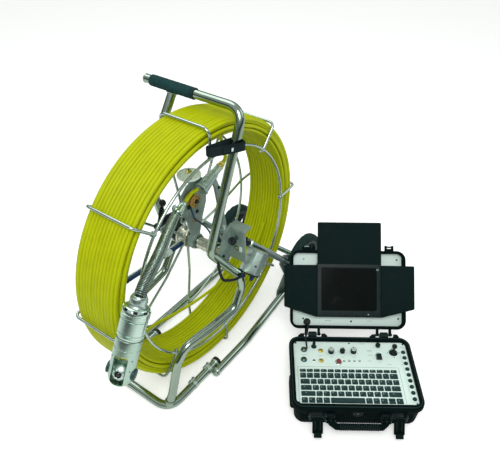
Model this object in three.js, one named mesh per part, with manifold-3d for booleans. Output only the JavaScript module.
// Pipe inspection camera: a push-rod reel on a wheeled tube stand, with a
// pan-and-tilt camera head and a separate control case.
// Millimetres, +Z up. The reel axle lies along Y and the wheels are at +X.
// "Near" is the -Y side, "far" the +Y side. The stand is drawn with the reel
// axle at the origin, and the whole rig is moved onto the floor at the end.
import * as THREE from 'three';
import { mergeVertices } from 'three/addons/utils/BufferGeometryUtils.js';
import Module from 'manifold-3d';

const wasm = await Module();
wasm.setup();

// ---------------------------------------------------------------- dimensions
const GAP = 0.35;                 // clearance between touching pieces
const FLOOR_Z = -408;             // floor below the reel axle

// stand
const TUBE_R = 12.5;
const BASE_Z = FLOOR_Z + TUBE_R * Math.cos(Math.PI / 12); // 12-sided tube lying on a flat
const NEAR_Y = -104, FAR_Y = 130; // planes of the two stand frames
const BASE_X = -290;              // front cross tube
const BAR_X = 84, BAR_Z = 412, BAR_END_Y = 223; // cross handle
const GRIP_R = 15.7, GRIP_Y = [58, 204];
const SHAFT_R = 17.5;             // fixed hub tube

// reel
const RING_R = 314, CAGE_R = 395, CAGE_Y = 79, WIRE_R = 4;
const CAGE_PHASE = 3, BRACKETS = 8; // degrees, count
const COIL_RO = 389, COIL_RI = 346, COIL_Y = 73.5, COIL_CHAMFER = 9;
const HUB_R = 30, HUB_Y = [26, 62];

// rod guide
const ROLLER_R = 20, ROLLER_W = 26, ROLLER_X = -20, ROLLER_Z = 162;
const FUNNEL_AT = [10, -14, 180], FUNNEL_DIR = [0.92, 0.02, 0.32], FUNNEL_L = 92;

// wheels and their rails
const WHEEL_R = 99, WHEEL_W = 34, WHEEL_X = 428;
const WHEEL_Y = { near: -113, far: 197 };
const AXLE_R = 9, AXLE_Z = FLOOR_Z + WHEEL_R;
const RAIL_NEAR_Y = -130, RAIL_FAR_Y = 156;
const RAIL_R = TUBE_R - 0.3, RAIL_Z = BASE_Z + 0.5;
const STRUT_R = 11, STRUT_PIVOT = [322, -250]; // x, z of the lower strut pins
const AXLE_PLATE_T = 4.6;

// push rod and camera head
const ROD_R = 5.5, NECK_R = 16.5, HEAD_R = 34;
const HEAD_TOP = [-341, -126, 128], HEAD_TIP = [-450, -126, -82];
const GLAND_AT = 0.6, BODY_AT = 27, FORK_AT = 108.6; // distances from HEAD_TOP
const FORK_L = 128, TILT_AT = 90; // fork length, tilt axis from the fork root
const EYE_YAW = -86;              // degrees the fork's slot is turned about the head axis

// control case
const CASE_AT = [95, -496], CASE_YAW = -55;
const CASE_W = 374, CASE_D = 262, CASE_H = 92;
const CASE_FRONT = -CASE_D / 2, CASE_BACK = CASE_D / 2;
const PANEL_W = 346, PANEL_D = 230, PANEL_Z = 84, PANEL_T = 3, PANEL_CORNER = 15;
const POCKET = [PANEL_W + 1.2, PANEL_D + 1.2, 16]; // width, depth, corner radius
const HINGE_X = 112, HINGE_Y = CASE_BACK + 8, HINGE_Z = CASE_H + 1; // hinge pin axis
const LATCH_X = 114;
const LID_OPEN = 132;             // degrees from closed
const LID_W = 366, LID_D = 248, LID_T = 46;
const LID_START = 16, LID_END = LID_START + LID_D; // along the lid, from the hinge
const LID_MID = LID_START + LID_D / 2;
const MON_W = 204, MON_X = 3, MON_S = [53, 224], MON_T = 21, MON_Z = -18.6;
const SCREEN_HALF_W = 85.5, SCREEN_S = [75, 207];
const FLAP_TOP = 131, FLAP_SIDE = 104, FLAP_T = 2.4;

// ------------------------------------------------------------------ finishes
const FINISH = {
  steel: { color: 0x9fb8ae, roughness: 0.28, metalness: 1 },
  steelDark: { color: 0x55706a, roughness: 0.3, metalness: 1 },
  greyPaint: { color: 0x7fa39a, roughness: 0.45, metalness: 0.2 },
  black: { color: 0x0c1f1e, roughness: 0.6, metalness: 0 },
  rubber: { color: 0x12302e, roughness: 0.85, metalness: 0 },
  yellow: { color: 0xc6d000, roughness: 0.5, metalness: 0 },
  foam: { color: 0x1e4a4c, roughness: 0.95, metalness: 0 },
  hubTube: { color: 0xb9c9bd, roughness: 0.35, metalness: 0.9 },
  junctionBox: { color: 0x9dbcb2, roughness: 0.4, metalness: 0.6 },
  roller: { color: 0x8a5a1e, roughness: 0.5, metalness: 0.3 },
  funnel: { color: 0xa9c4ba, roughness: 0.4, metalness: 0.3 },
  counterWheel: { color: 0xd8e8e0, roughness: 0.35, metalness: 0 },
  cable: { color: 0x0d2f46, roughness: 0.5, metalness: 0 },
  ferrule: { color: 0xcfe0d8, roughness: 0.3, metalness: 0.8 },
  spring: { color: 0x7d9a90, roughness: 0.35, metalness: 0.9 },
  gland: { color: 0xd4e6de, roughness: 0.3, metalness: 0.9 },
  cameraBody: { color: 0xb9d0c8, roughness: 0.22, metalness: 1 },
  fork: { color: 0x9fbab2, roughness: 0.25, metalness: 1 },
  eye: { color: 0x9fb5a8, roughness: 0.25, metalness: 1 },
  lens: { color: 0x0a1010, roughness: 0.08, metalness: 0 },
  panel: { color: 0xbfe0d6, roughness: 0.35, metalness: 0.5 },
  brightKnob: { color: 0xcfdcd6, roughness: 0.2, metalness: 1 },
  redButton: { color: 0x8a1a22, roughness: 0.4, metalness: 0 },
  screen: { color: 0x0b0f0e, roughness: 0.12, metalness: 0 },
};

// -------------------------------------------------------------- mesh helpers
const vec = (x, y, z) => new THREE.Vector3(x, y, z);
const rad = THREE.MathUtils.degToRad;

// positions only, welded, without collapsed triangles, facing outwards
function clean(geo) {
  let welded = geo.clone();
  for (const key of Object.keys(welded.attributes)) {
    if (key !== 'position') welded.deleteAttribute(key);
  }
  welded.clearGroups();
  welded = mergeVertices(welded, 1e-3);
  const position = welded.attributes.position, source = welded.index.array;
  const kept = [];
  let volume = 0;
  for (let i = 0; i < source.length; i += 3) {
    const corners = [source[i], source[i + 1], source[i + 2]];
    if (new Set(corners).size < 3) continue;
    kept.push(...corners);
    const [a, b, c] = corners.map((k) => vec().fromBufferAttribute(position, k));
    volume += a.dot(b.cross(c)) / 6;
  }
  if (volume < 0) {
    for (let i = 0; i < kept.length; i += 3) [kept[i], kept[i + 1]] = [kept[i + 1], kept[i]];
  }
  welded.setIndex(kept);
  return welded;
}

function toManifold(geo) {
  const solid = clean(geo);
  return new wasm.Manifold(new wasm.Mesh({
    numProp: 3,
    vertProperties: new Float32Array(solid.attributes.position.array),
    triVerts: new Uint32Array(solid.index.array),
  }));
}

function fromManifold(manifold) {
  const mesh = manifold.getMesh();
  const geo = new THREE.BufferGeometry();
  geo.setAttribute('position', new THREE.BufferAttribute(new Float32Array(mesh.vertProperties), 3));
  geo.setIndex(Array.from(mesh.triVerts));
  return geo;
}

const union = (geos) => geos.map(toManifold).reduce((sum, next) => sum.add(next));
const join = (...geos) => fromManifold(union(geos));
const cut = (geo, ...tools) => fromManifold(
  tools.map(toManifold).reduce((rest, tool) => rest.subtract(tool), toManifold(geo)));

// --------------------------------------------------------------------- tubes
// centre line with its corners rounded; bend is one size, or one per corner
function rounded(points, bend, cornerSteps) {
  const line = [points[0]];
  for (let i = 1; i < points.length - 1; i++) {
    const corner = points[i];
    const dirIn = corner.clone().sub(points[i - 1]), dirOut = points[i + 1].clone().sub(corner);
    const lengthIn = dirIn.length(), lengthOut = dirOut.length();
    dirIn.normalize();
    dirOut.normalize();
    const angle = Math.acos(THREE.MathUtils.clamp(dirIn.dot(dirOut), -1, 1));
    if (angle < 0.03) {
      line.push(corner);
      continue;
    }
    const size = Array.isArray(bend) ? bend[i - 1] : bend;
    const reach = Math.min(size * Math.tan(angle / 2), 0.45 * lengthIn, 0.45 * lengthOut);
    const start = corner.clone().addScaledVector(dirIn, -reach);
    const end = corner.clone().addScaledVector(dirOut, reach);
    for (let k = 0; k <= cornerSteps; k++) {
      const t = k / cornerSteps;
      line.push(vec().addScaledVector(start, (1 - t) ** 2)
        .addScaledVector(corner, 2 * t * (1 - t)).addScaledVector(end, t * t));
    }
  }
  line.push(points[points.length - 1]);
  return line.filter((p, i) => i === 0 || p.distanceTo(line[i - 1]) > 0.4);
}

// extrusion path with one step at each of its points
class PointPath extends THREE.Curve {
  constructor(points) {
    super();
    this.points = points;
  }
  getSpacedPoints() {
    return this.points;
  }
  getTangentAt(u, target = vec()) {
    const last = this.points.length - 1, i = Math.round(u * last);
    const before = this.points[Math.max(i - 1, 0)], after = this.points[Math.min(i + 1, last)];
    return target.copy(after).sub(before).normalize();
  }
}

function tube(points, radius, { sides = 10, bend = 30, cornerSteps = 4 } = {}) {
  const line = rounded(points.map((p) => vec(...p)), bend, cornerSteps);
  const section = Array.from({ length: sides }, (_, i) => {
    const angle = ((i + 0.5) / sides) * Math.PI * 2;
    return [radius * Math.cos(angle), radius * Math.sin(angle)];
  });
  return new THREE.ExtrudeGeometry(poly(section), {
    steps: line.length - 1, bevelEnabled: false, extrudePath: new PointPath(line),
  });
}

// -------------------------------------------------------------------- shapes
function poly(points) {
  const shape = new THREE.Shape();
  points.forEach(([x, y], i) => (i ? shape.lineTo(x, y) : shape.moveTo(x, y)));
  shape.closePath();
  return shape;
}

function roundRect(w, d, radius, { steps = 3, cx = 0, cy = 0 } = {}) {
  const points = [];
  for (const [sx, sy, start] of [[1, 1, 0], [-1, 1, 90], [-1, -1, 180], [1, -1, 270]]) {
    for (let k = 0; k <= steps; k++) {
      const angle = rad(start + (90 * k) / steps);
      points.push([cx + sx * (w / 2 - radius) + radius * Math.cos(angle),
        cy + sy * (d / 2 - radius) + radius * Math.sin(angle)]);
    }
  }
  return points;
}

const extrude = (shape, depth) => new THREE.ExtrudeGeometry(shape, { depth, bevelEnabled: false });
const slab = (shape, z0, z1) => extrude(shape, z1 - z0).translate(0, 0, z0);
// plate between y0 and y1, its outline in (x, z)
const plateXZ = (outline, y0, y1) => extrude(poly(outline), y1 - y0)
  .rotateX(Math.PI / 2).translate(0, y1, 0);
const box = (x0, x1, y0, y1, z0, z1) => new THREE.BoxGeometry(x1 - x0, y1 - y0, z1 - z0)
  .translate((x0 + x1) / 2, (y0 + y1) / 2, (z0 + z1) / 2);
const cylX = (r, x0, x1, y = 0, z = 0, seg = 12) => new THREE.CylinderGeometry(r, r, x1 - x0, seg)
  .rotateZ(Math.PI / 2).translate((x0 + x1) / 2, y, z);
const cylY = (r, y0, y1, x = 0, z = 0, seg = 20) => new THREE.CylinderGeometry(r, r, y1 - y0, seg)
  .translate(x, (y0 + y1) / 2, z);
const cylZ = (r, z0, z1, x, y, seg) => new THREE.CylinderGeometry(r, r, z1 - z0, seg)
  .rotateX(Math.PI / 2).translate(x, y, (z0 + z1) / 2);
const ball = (r, x, y, z) => new THREE.SphereGeometry(r, 12, 8).translate(x, y, z);
// bodies of revolution from (radius, distance along the axis) profiles
const lathe = (profile, seg = 24) => new THREE.LatheGeometry(
  profile.map(([r, s]) => new THREE.Vector2(r, s)), seg);
const latheZ = (profile, seg) => lathe(profile, seg).rotateX(Math.PI / 2);
// turns a +Y body of revolution to point along direction, from point
function aim(geo, point, direction) {
  const turn = new THREE.Quaternion().setFromUnitVectors(vec(0, 1, 0), vec(...direction).normalize());
  return geo.applyQuaternion(turn).translate(...point);
}

const root = new THREE.Group();
const rig = new THREE.Group();
root.add(rig);
function part(name, geo, finish, parent = rig) {
  const solid = clean(geo);
  solid.computeVertexNormals();
  const mesh = new THREE.Mesh(solid, new THREE.MeshStandardMaterial(finish));
  mesh.name = name;
  parent.add(mesh);
}

// --------------------------------------------------------------- stand tubes
// centre lines in x, y, z
const HANDLE_PATH = [
  [BAR_X, BAR_END_Y, BAR_Z], [BAR_X, NEAR_Y, BAR_Z], [-69, NEAR_Y, 53], [16, -137, -71],
];
const FAR_LEG_PATH = [
  [BAR_X - 1, FAR_Y, BAR_Z], [40, FAR_Y + 2, 330], [-30, FAR_Y, 140],
  [0, FAR_Y, 12], [30, FAR_Y, -52],
];
const BASE_PATH = [
  [-66, NEAR_Y, BASE_Z], [BASE_X, NEAR_Y, BASE_Z], [BASE_X, FAR_Y, BASE_Z], [-90, FAR_Y, BASE_Z],
];
const NEAR_STRUT_PATH = [
  [16.3, -137.2, -72], [13, -146, -112], [-19, -145, -172], [-113, -127, -187],
  [-201, -110, -197], [-232, -103, -240], [-262, -98, -350], [-279, -93, -398],
];
const FAR_STRUT_PATH = [
  [30.3, FAR_Y, -52.6], [40, FAR_Y, -74], [-20, FAR_Y + 6, -172],
  [-205, FAR_Y + 6, -205], [-262, FAR_Y - 4, -350], [-276, FAR_Y - 16, -398],
];
const handleTube = (radius) => tube(HANDLE_PATH, radius, { bend: [46, 26] });
const farLegTube = (path, radius) => tube(path, radius, { bend: 90, cornerSteps: 3 });
const baseTube = (radius) => tube(BASE_PATH, radius, { sides: 12, bend: 52 });
const frontStrut = (path) => tube(path, TUBE_R, { bend: 40, cornerSteps: 3 });
const gripCylinder = (radius, overhang) => cylY(
  radius, GRIP_Y[0] - overhang, GRIP_Y[1] + overhang, BAR_X, BAR_Z);
const shaftBore = (clearance, y0, y1) => cylY(SHAFT_R + clearance, y0, y1, 0, 0, 24);

// cross handle, near leg and lower elbow in one bent tube
part('handle_tube', handleTube(TUBE_R), FINISH.steel);
part('handle_grip', cut(gripCylinder(GRIP_R, 0), gripCylinder(TUBE_R + 0.5, 5)), FINISH.foam);
// far leg: from the cross handle down past the far end of the hub tube
part('far_leg', cut(farLegTube(FAR_LEG_PATH, TUBE_R), gripCylinder(GRIP_R + GAP, 3)), FINISH.steel);
// fixed hub tube, notched around the far leg
part('hub_shaft', cut(cylY(SHAFT_R, -88, FAR_Y - TUBE_R + 4, 0, 0, 24),
  farLegTube(FAR_LEG_PATH.slice(1), TUBE_R + GAP)), FINISH.hubTube);
// near rail, front cross tube and far rail on the floor
part('base_tube', baseTube(TUBE_R), FINISH.steel);
part('front_strut_near', cut(frontStrut(NEAR_STRUT_PATH),
  baseTube(TUBE_R + GAP), handleTube(TUBE_R + GAP)), FINISH.steel);
part('front_strut_far', cut(frontStrut(FAR_STRUT_PATH),
  baseTube(TUBE_R + GAP), tube(FAR_LEG_PATH.slice(3), TUBE_R + GAP)), FINISH.steel);

// ---------------------------------------------------------- near side fittings
// outline of a belt around two circles, in (x, y)
function beltOutline(bigAt, bigR, smallAt, smallR) {
  const dx = smallAt[0] - bigAt[0], dy = smallAt[1] - bigAt[1];
  const heading = Math.atan2(dy, dx), wrap = Math.acos((bigR - smallR) / Math.hypot(dx, dy));
  const points = [];
  const arc = (at, radius, start, sweep, steps) => {
    for (let k = 0; k <= steps; k++) {
      const angle = start + (sweep * k) / steps;
      points.push([at[0] + radius * Math.cos(angle), at[1] + radius * Math.sin(angle)]);
    }
  };
  arc(bigAt, bigR, heading + wrap, 2 * Math.PI - 2 * wrap, 6);
  arc(smallAt, smallR, heading - wrap, 2 * wrap, 5);
  return poly(points);
}

// hook-and-loop tie looped round the near leg, tapering towards -X
{
  const legAt = [49.5, NEAR_Y - 3], endAt = [-40, NEAR_Y + 6.5];
  const slope = 0.2; // rise per millimetre towards -X
  const outline = beltOutline(legAt, 21.4, endAt, 10.4);
  const inside = beltOutline(legAt, 19, endAt, 8).getPoints().reverse();
  outline.holes.push(new THREE.Path(inside));
  const strap = slab(outline, 319.5, 343.5), position = strap.attributes.position;
  for (let i = 0; i < position.count; i++) {
    position.setZ(i, position.getZ(i) + slope * (legAt[0] - position.getX(i)));
  }
  part('tie_strap', strap, FINISH.black);
}

// hub bracket: upright web at the end of the hub tube, side plate and top flange
const SIDE_PLATE_X = [30, 34], SIDE_HOLE_Y = -118, LOCK_Z = 50;
{
  const webOutline = [[-14, -20], [16, -34], [60, -34], [66, 60], [40, 84], [8, 70], [-12, 26]];
  const sideHole = (radius, z) => cylX(radius, 17, 47, SIDE_HOLE_Y, z);
  const plates = join(plateXZ(webOutline, -94, -89),
    box(...SIDE_PLATE_X, -148, -91, -30, 82), box(SIDE_PLATE_X[0], 62, -148, -91, 78, 82));
  part('bracket_plate', cut(plates, sideHole(7, 12), sideHole(5, LOCK_Z),
    handleTube(TUBE_R + GAP)), FINISH.greyPaint);
}

// junction box, a chamfered extrusion leaning in the XZ plane
{
  const profile = [[-22, -27], [10, -27], [22, -12], [22, 12], [10, 27], [-22, 27]];
  const lean = new THREE.Matrix4()
    .makeBasis(vec(-0.755, 0, 0.656), vec(0, 1, 0), vec(-0.656, 0, -0.755))
    .setPosition(64, -150, -46);
  part('junction_box', cut(slab(poly(profile), -34, 34).applyMatrix4(lean),
    handleTube(TUBE_R + 0.8), box(20, 70, -149, -85, -35, 90)), FINISH.junctionBox);
}

// knob of the reel lock, its stem through the side plate
part('lock_knob', lathe([[0, 0], [4.2, 0], [4.2, 12], [12, 14], [13, 20], [11, 25], [0, 26]], 14)
  .rotateZ(Math.PI / 2).translate(SIDE_PLATE_X[0] - 1, SIDE_HOLE_Y, LOCK_Z), FINISH.black);

// ----------------------------------------------------------------- rod guide
// upright plate with a clamp ring on the hub tube
{
  const outline = [ // x, z
    [-14, 8], [14, 8], [34, 70], [52, 112], [56, 168], [40, 198],
    [18, 206], [-22, 200], [-48, 178], [-50, 130], [-30, 80],
  ];
  const hole = (radius, x, z) => cylY(radius, 0, 20, x, z, 12);
  part('guide_plate', cut(join(cylY(24, 2, 22), plateXZ(outline, 6, 10)),
    shaftBore(GAP, -10, 40), hole(4, 11, 123.5), hole(4, 11, 99.5),
    hole(3.6, ROLLER_X, ROLLER_Z)), FINISH.greyPaint);
}

// bored spool with a V groove for the rod
{
  const half = ROLLER_W / 2, boreR = 3.9;
  part('guide_roller', lathe([
    [boreR, -half], [ROLLER_R, -half], [ROLLER_R, -half + 4], [ROLLER_R - 7, 0],
    [ROLLER_R, half - 4], [ROLLER_R, half], [boreR, half], [boreR, -half],
  ]).translate(ROLLER_X, -9, ROLLER_Z), FINISH.roller);
}

// stepped, tapering funnel that the rod runs through
const funnelOutside = (grow) => aim(lathe([
  [0, 0], [19 + grow, 0], [21 + grow, 5], [17 + grow, 30], [15 + grow, 60],
  [11 + grow, 64], [10 + grow, FUNNEL_L], [0, FUNNEL_L],
], 18), FUNNEL_AT, FUNNEL_DIR);
{
  const over = 9, boreR = 6.4;
  const bore = lathe([[0, -over], [boreR, -over], [boreR, FUNNEL_L + over], [0, FUNNEL_L + over]], 12);
  part('guide_funnel', cut(funnelOutside(0), aim(bore, FUNNEL_AT, FUNNEL_DIR),
    cylY(ROLLER_R + 1, -30, 5.6, ROLLER_X, ROLLER_Z, 24),
    box(-60, 120, 5.4, 30, 60, 260)), FINISH.funnel);
}

// side arm from the funnel down to the hub bracket
{
  const path = [[62, -14, 190], [66, -22, 166], [46, -60, 60], [30, -84, 30]];
  part('guide_arm', cut(tube(path, 9, { sides: 8, bend: 20, cornerSteps: 2 }),
    funnelOutside(0.5), box(-30, 90, -95, -88.6, -60, 100), shaftBore(GAP, -95, 95)),
  FINISH.greyPaint);
}

// flat disc with a raised boss, above the funnel
part('counter_wheel', latheZ([
  [3.2, 0], [32, 0], [33, 3], [32, 6], [11, 6], [9, 12], [3.2, 12], [3.2, 0],
], 24).translate(-4, 12, 222), FINISH.counterWheel);

part('brake_lever', join(tube([[-118, 30, 118], [-96, 30, 172]], 4.5, { sides: 8 }),
  ball(10, -94, 30, 177), cylY(9, 22, 38, -120, 114, 12)), FINISH.black);

// ---------------------------------------------------------------------- reel
// wire cage: two rings, U-shaped brackets around the coil, spokes and a bored hub
{
  const pieces = [-CAGE_Y, CAGE_Y].map((y) => new THREE.TorusGeometry(RING_R, WIRE_R, 5, 48)
    .rotateX(Math.PI / 2).translate(0, y, 0));
  for (let k = 0; k < BRACKETS; k++) {
    const angle = rad(CAGE_PHASE + (360 / BRACKETS) * k);
    const at = (radius, y) => [radius * Math.cos(angle), y, radius * Math.sin(angle)];
    pieces.push(
      tube([at(RING_R, -CAGE_Y), at(CAGE_R, -CAGE_Y), at(CAGE_R, CAGE_Y), at(RING_R, CAGE_Y)],
        WIRE_R, { sides: 5, bend: 20, cornerSteps: 2 }),
      tube([at(HUB_R - 6, 44), at(RING_R * 0.45, 52), at(RING_R, CAGE_Y)],
        WIRE_R * 0.95, { sides: 5 }));
  }
  pieces.push(cylY(HUB_R, ...HUB_Y, 0, 0, 24));
  const bore = toManifold(shaftBore(0.7, HUB_Y[0] - 5, HUB_Y[1] + 5));
  part('reel_cage', fromManifold(union(pieces).subtract(bore)), FINISH.steel);
}

// the wound rod as one ring with chamfered outer edges
part('pushrod_coil', lathe([
  [COIL_RI, -COIL_Y], [COIL_RO - COIL_CHAMFER, -COIL_Y], [COIL_RO, COIL_CHAMFER - COIL_Y],
  [COIL_RO, COIL_Y - COIL_CHAMFER], [COIL_RO - COIL_CHAMFER, COIL_Y],
  [COIL_RI, COIL_Y], [COIL_RI, -COIL_Y],
], 48), FINISH.yellow);
part('slip_ring', cut(cylY(26, HUB_Y[1] + 0.5, HUB_Y[1] + 24), shaftBore(0.7, 40, 120)),
  FINISH.black);
part('lead_cable', tube([
  [-37.5, 34.5, -2], [-80, 37, -4], [-141, 41, -7.4],
  [-200, 50, -10.5], [-280, 60, -13], [-300, 62, -13],
], 5.5, { sides: 8, bend: 60, cornerSteps: 2 }), FINISH.cable);

// ---------------------------------------------------- rail carriage and wheels
const AXLE_PLATE_OUTLINE = [ // x, z
  [296, -407], [352, -407], [446, -318], [440, -294], [420, -290],
  [330, -234], [312, -240], [306, -262], [340, -330], [296, -384],
];
for (const [side, y0] of [['near', -92.6], ['far', 172]]) {
  const y1 = y0 + AXLE_PLATE_T;
  part(`axle_plate_${side}`, cut(plateXZ(AXLE_PLATE_OUTLINE, y0, y1),
    cylY(AXLE_R + GAP, y0 - 9, y1 + 9, WHEEL_X, AXLE_Z),
    cylY(4.2, y0 - 9, y1 + 9, ...STRUT_PIVOT, 12)), FINISH.greyPaint);
}

const rail = (points) => tube(points.map(([x, y]) => [x, y, RAIL_Z]), RAIL_R,
  { sides: 12, bend: 80, cornerSteps: 3 });
part('rail_near', rail([[-110, RAIL_NEAR_Y], [60, RAIL_NEAR_Y], [300, -108], [336, -107]]),
  FINISH.steel);
part('rail_far', rail([[-250, RAIL_FAR_Y], [60, RAIL_FAR_Y], [336, 157]]), FINISH.steel);
part('wheel_axle', cylY(AXLE_R, -140, 224, WHEEL_X, AXLE_Z), FINISH.steelDark);

for (const [side, y] of Object.entries(WHEEL_Y)) {
  const half = WHEEL_W / 2, boreR = AXLE_R + 0.5;
  const tyre = lathe([
    [78, -half + 3], [92, -half], [WHEEL_R, -7], [WHEEL_R, 7],
    [92, half], [78, half - 3], [78, -half + 3],
  ], 32);
  const rim = lathe([
    [boreR, -half + 1], [20, -half + 1], [22, -8], [77.4, -12], [77.4, 12],
    [22, 8], [20, half - 1], [boreR, half - 1], [boreR, -half + 1],
  ]);
  part(`tyre_${side}`, tyre.translate(WHEEL_X, y, AXLE_Z), FINISH.rubber);
  part(`rim_${side}`, rim.translate(WHEEL_X, y, AXLE_Z), FINISH.black);
}

// rear struts, from the pin holes of the axle plates up towards the hub
for (const [side, pinY, upperEnd] of [['near', -104.6, [86, -117, -4]], ['far', 160.4, [76, 158, 8]]]) {
  part(`rear_strut_${side}`, tube([[STRUT_PIVOT[0], pinY, STRUT_PIVOT[1]], upperEnd], STRUT_R),
    FINISH.steelDark);
}

// --------------------------------------------------------------- camera line
part('pushrod_tip', tube([[1, -10, 184.5], [-22, -9, 184], [-54.6, -14.3, 176.9]], ROD_R,
  { sides: 8, bend: 60, cornerSteps: 2 }), FINISH.yellow);
part('neck_ferrule', aim(lathe([[0, 0], [7, 0], [9, 8], [15, 34], [15, 40], [0, 40]], 16),
  [-56.6, -14.6, 176.2], [-0.88, -0.12, -0.3]), FINISH.ferrule);
part('spring_neck', tube([
  [-94.4, -19.7, 163.3], [-106, -21.3, 159.4], [-137, -28, 157], [-176, -46, 160],
  [-216, -78, 174], [-252, -113, 188], [-292, -121, 176], [-320, -125, 158],
  [-334.5, -126, 140.4], [-340.9, -126, 128.2],
], NECK_R, { bend: 60, cornerSteps: 2 }), FINISH.spring);

// head pieces are drawn along +Y, then placed at a distance down the head axis
const headAxis = vec(...HEAD_TIP).sub(vec(...HEAD_TOP)).normalize();
const onHead = (geo, distance) => aim(geo,
  vec(...HEAD_TOP).addScaledVector(headAxis, distance).toArray(), headAxis.toArray());
const onFork = (geo) => onHead(geo.rotateY(rad(EYE_YAW)), FORK_AT);

part('head_gland', onHead(lathe([[0, 0], [18, 0], [28, 20], [28, 26], [0, 26]], 18), GLAND_AT),
  FINISH.gland);
part('camera_body', onHead(lathe([
  [0, 0], [29, 0], [HEAD_R, 8], [HEAD_R, 26], [HEAD_R - 1.2, 27],
  [HEAD_R - 1.2, 74], [HEAD_R - 4, 76], [HEAD_R - 4, 81], [0, 81],
]), BODY_AT), FINISH.cameraBody);

// fork: cylinder with a domed nose, a slot for the tilting eye and a pivot hole
{
  const solid = lathe([
    [0, 0], [HEAD_R - 2, 0], [HEAD_R - 2, 88], [HEAD_R - 7, 106],
    [HEAD_R - 16, 120], [HEAD_R - 26, FORK_L - 2], [0, FORK_L],
  ]);
  const slotted = cut(solid, box(-21.5, 21.5, 56, 196, -45, 45));
  part('pan_fork', onFork(cut(slotted, cylX(3.2, -40, 40, TILT_AT))), FINISH.fork);
}
// eye: sphere with flat sides and a recess for the lens
{
  const flat = 21;
  const sided = cut(new THREE.SphereGeometry(26, 16, 10),
    box(flat, 40, -40, 40, -40, 40), box(-40, -flat, -40, 40, -40, 40));
  const eye = cut(sided, cylZ(11, 17, 37, 0, 0, 14));
  part('tilt_eye', onFork(eye.translate(0, TILT_AT, 0)), FINISH.eye);
}
part('lens_window', onFork(latheZ([[0, 0], [10.4, 0], [10.4, 4], [6, 6.4], [0, 7]], 16)
  .translate(0, TILT_AT, 17.4)), FINISH.lens);

// --------------------------------------------------------------- case base
// local axes: x across, -y to the front, +y to the hinges, z up from the floor
const caseGroup = new THREE.Group();
caseGroup.position.set(...CASE_AT, FLOOR_Z);
caseGroup.rotation.z = rad(CASE_YAW);
rig.add(caseGroup);

// tray with the panel pocket in its top, lofted through rounded rectangles;
// sections run from bottom to top as [total inset, corner radius, z]
function loftTray(width, depth, sections, pocketFloor) {
  const ring = (w, d, radius, z) => roundRect(w, d, radius).map(([x, y]) => [x, y, z]);
  const rings = sections.map(([inset, radius, z]) => ring(width - inset, depth - inset, radius, z));
  const bottom = sections[0][2], rim = sections[sections.length - 1][2];
  rings.push(ring(...POCKET, rim), ring(...POCKET, pocketFloor));
  const count = rings[0].length, last = rings.length - 1;
  const positions = rings.flat(2), index = [];
  for (let k = 0; k < last; k++) {
    for (let i = 0; i < count; i++) {
      const a = k * count + i, b = k * count + ((i + 1) % count);
      index.push(a, b, b + count, a, b + count, a + count);
    }
  }
  const cap = (k, z, flip) => {
    const centre = positions.length / 3;
    positions.push(0, 0, z);
    for (let i = 0; i < count; i++) {
      const a = k * count + i, b = k * count + ((i + 1) % count);
      index.push(centre, ...(flip ? [b, a] : [a, b]));
    }
  };
  cap(0, bottom, true);
  cap(last, pocketFloor, false);
  const geo = new THREE.BufferGeometry();
  geo.setAttribute('position', new THREE.Float32BufferAttribute(positions, 3));
  geo.setIndex(index);
  return geo;
}

{
  let base = loftTray(CASE_W, CASE_D, [
    [40, 22, 0], [22, 28, 8], [12, 30, 60], [8, 30, 72],
    [0, 32, 74], [0, 32, CASE_H - 3], [4, 31, CASE_H],
  ], 30);
  const lugOutline = [[170, -96], [188, -90], [190, -84], [190, -4], [188, 2], [170, 8]]; // x, y
  for (const side of [-1, 1]) {
    base = join(base, slab(poly(lugOutline.map(([x, y]) => [side * x, y])), 32, 66));
  }
  // back plates with two horns, and bored hinge blocks
  const hornOutline = [ // x from the hinge centre, z
    [-46, 56], [46, 56], [46, 94], [38, 104], [27, 104], [27, 84],
    [-27, 84], [-27, 104], [-38, 104], [-46, 94],
  ];
  for (const x of [-HINGE_X, HINGE_X]) {
    base = join(base, plateXZ(hornOutline, CASE_BACK - 3, CASE_BACK + 0.8).translate(x, 0, 0));
    base = join(base, box(x - 13, x + 13, CASE_BACK - 4, HINGE_Y + 6, 70, HINGE_Z + 7));
    base = cut(base, cylX(3.5, x - 20, x + 20, HINGE_Y, HINGE_Z));
  }
  // a pair of ribs beside each latch, and the two handle pads
  for (const x of [-LATCH_X, LATCH_X]) {
    for (const offset of [-21, 21]) {
      base = join(base,
        box(x + offset - 3, x + offset + 3, CASE_FRONT - 9, CASE_FRONT + 10, 44, 72));
    }
  }
  for (const x of [-78, 78]) {
    base = join(base, box(x - 13, x + 13, CASE_FRONT - 3, CASE_FRONT + 10, 42, 62));
  }
  part('case_base', base, FINISH.black, caseGroup);
}

// ------------------------------------------------------------ control panel
const panelOutline = poly(roundRect(PANEL_W, PANEL_D, PANEL_CORNER));
part('control_panel', slab(panelOutline, PANEL_Z - PANEL_T, PANEL_Z), FINISH.panel, caseGroup);
const TOP = PANEL_Z + 0.3; // just clear of the panel face

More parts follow.
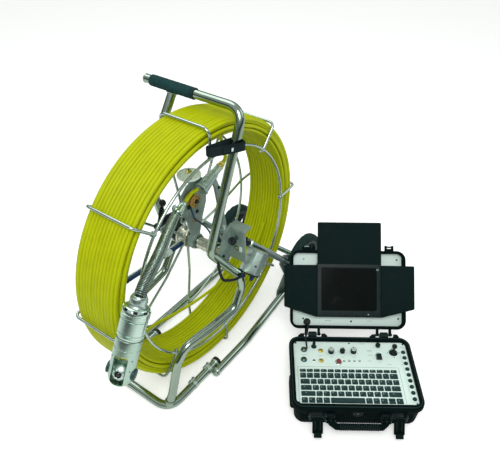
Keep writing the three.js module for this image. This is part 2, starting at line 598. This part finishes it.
// six rows of keys on a thin carrier
{
  const rows = [[5, 9], [-9, 16.5], [-31, 15.7], [-52.4, 15.4], [-73, 15], [-94, 17]]; // back y, depth
  part('keyboard', join(box(-162, 131, -113, 8, TOP + 2, TOP + 3),
    ...rows.map(([y, depth]) => box(-160, 129, y - depth, y, TOP + 2.5, TOP + 6))),
  FINISH.black, caseGroup);
}
{
  const count = 9, pitch = 21;
  const buttons = Array.from({ length: count },
    (_, k) => cylZ(6.5, TOP + 2.5, TOP + 8, 161, 74 - k * pitch, 8));
  part('side_buttons', join(box(153, 169, -103, 83, TOP + 2, TOP + 3), ...buttons),
    FINISH.black, caseGroup);
}
for (const [name, radius, height, x, y, finish] of [
  ['knob_left', 8.5, 17, -59, 74, FINISH.brightKnob],
  ['knob_mid', 7.5, 14, -24.5, 75, FINISH.black],
  ['knob_right', 8.5, 17, 9.5, 75.5, FINISH.brightKnob],
]) {
  const profile = [
    [0, 0], [radius, 0], [radius, height * 0.72], [radius * 0.86, height], [0, height],
  ];
  part(name, latheZ(profile, 14).translate(x, y, TOP), finish, caseGroup);
}
part('red_button', latheZ([[0, 0], [7.5, 0], [7.5, 4], [6, 7], [0, 8]], 14)
  .translate(-39.5, 36, TOP + 2), FINISH.redButton, caseGroup);
part('power_rocker', box(-7, 7, -9, 9, 0, 6).rotateX(rad(8)).translate(85, 57, TOP + 1.6),
  FINISH.black, caseGroup);
part('joystick', join(latheZ([[0, 0], [10, 0], [9.4, 4], [5, 9], [0, 10]], 14),
  cylZ(3, 8, 24, 0, 0, 10), ball(8, 0, 0, 27)).translate(130.5, 73, TOP + 4),
FINISH.black, caseGroup);

// ------------------------------------------------------- case front fittings
// carry handle with a pivot barrel at each end
{
  const pivotY = CASE_FRONT - 12, pivotZ = 50;
  const outline = [ // x, y from the pivot
    [-85, 3], [-85, -10], [-66, -26.5], [66, -26.5], [85, -10], [85, 3],
    [71, 3], [71, -4], [58, -9.5], [-58, -9.5], [-71, -4], [-71, 3],
  ];
  part('case_handle', join(slab(poly(outline), 43, 56).translate(0, pivotY, 0),
    cylX(7.4, -90, -66, pivotY, pivotZ), cylX(7.4, 66, 90, pivotY, pivotZ)),
  FINISH.black, caseGroup);
}
// open draw latches hanging from their pivots, leaning outwards
for (const [name, x] of [['latch_left', -LATCH_X], ['latch_right', LATCH_X]]) {
  part(name, join(cylX(4, -17.5, 17.5, 0, 0, 10), box(-15, 15, -4, 3, -46, 2),
    box(-11, 11, -9, -3, -56, -40)).rotateX(rad(-38)).translate(x, CASE_FRONT - 6, 58),
  FINISH.black, caseGroup);
}

// ---------------------------------------------------------------------- lid
// origin on the hinge pin: x across, +y up along the open lid, +z out of its inner face
const lidGroup = new THREE.Group();
lidGroup.position.set(0, HINGE_Y, HINGE_Z);
lidGroup.rotation.x = rad(180 - LID_OPEN);
caseGroup.add(lidGroup);
{
  // rim plane at z = 0, back at z = -LID_T
  let lid = loftTray(LID_W, LID_D, [
    [34, 22, -LID_T], [14, 27, -LID_T + 7], [6, 28, -12], [0, 29, -10], [0, 29, -2], [4, 28, 0],
  ], -LID_T + 10).translate(0, LID_MID, 0);
  // two hinge fingers a side, with the pin between them
  for (const x of [-HINGE_X, HINGE_X]) {
    for (const offset of [-20, 20]) {
      const x0 = x + offset - 4, x1 = x + offset + 4;
      lid = join(lid, box(x0, x1, 0, LID_START + 4, -8, 0), cylX(5.5, x0, x1));
    }
    lid = join(lid, cylX(3, x - 20, x + 20));
  }
  // two tabs on the free edge
  for (const x of [-131, 131]) {
    lid = join(lid, box(x - 14, x + 14, LID_END - 8, LID_END + 16, -12, -3));
  }
  part('case_lid', lid, FINISH.black, lidGroup);
}
part('lid_panel', slab(panelOutline, -22, -22 + PANEL_T).translate(0, LID_MID, 0),
  FINISH.panel, lidGroup);

// monitor with a screen set in its face
const MON_FACE = MON_Z + MON_T;
{
  const block = slab(poly(roundRect(MON_W, MON_S[1] - MON_S[0], 4,
    { steps: 2, cx: MON_X, cy: (MON_S[0] + MON_S[1]) / 2 })), MON_Z, MON_FACE);
  const screenBox = (inset, z0, z1) => box(
    MON_X - SCREEN_HALF_W + inset, MON_X + SCREEN_HALF_W - inset,
    SCREEN_S[0] + inset, SCREEN_S[1] - inset, z0, z1);
  part('monitor', cut(block, screenBox(0, MON_FACE - 4, MON_FACE + 5)), FINISH.black, lidGroup);
  part('screen', screenBox(GAP, MON_FACE - 3.6, MON_FACE - 1.4), FINISH.screen, lidGroup);
}

// hood flaps folded out flat; outlines in x, y from each fold
function hoodFlap(name, outline, foldX, foldY) {
  const z = MON_FACE + 0.6;
  part(name, slab(poly(outline), z, z + FLAP_T).translate(foldX, foldY, 0), FINISH.black, lidGroup);
}
hoodFlap('hood_top', [[-99.5, 0.8], [99.5, 0.8], [99.5, FLAP_TOP], [-99.5, FLAP_TOP]],
  MON_X, MON_S[1] - 3);
for (const [name, side, outerRise] of [['hood_left', -1, 33], ['hood_right', 1, 28]]) {
  hoodFlap(name, [
    [side * 0.8, MON_S[0] + 1], [side * 0.8, MON_S[1] - 8],
    [side * FLAP_SIDE, MON_S[1] - 9], [side * FLAP_SIDE, MON_S[0] + outerRise],
  ], MON_X + side * (MON_W / 2 - 2), 0);
}

// origin at the centre of the footprint, on the floor
root.updateMatrixWorld(true);
const bounds = new THREE.Box3().setFromObject(root, true);
const middle = bounds.getCenter(vec());
rig.position.set(-middle.x, -middle.y, -FLOOR_Z);
root.updateMatrixWorld(true);

export default root;
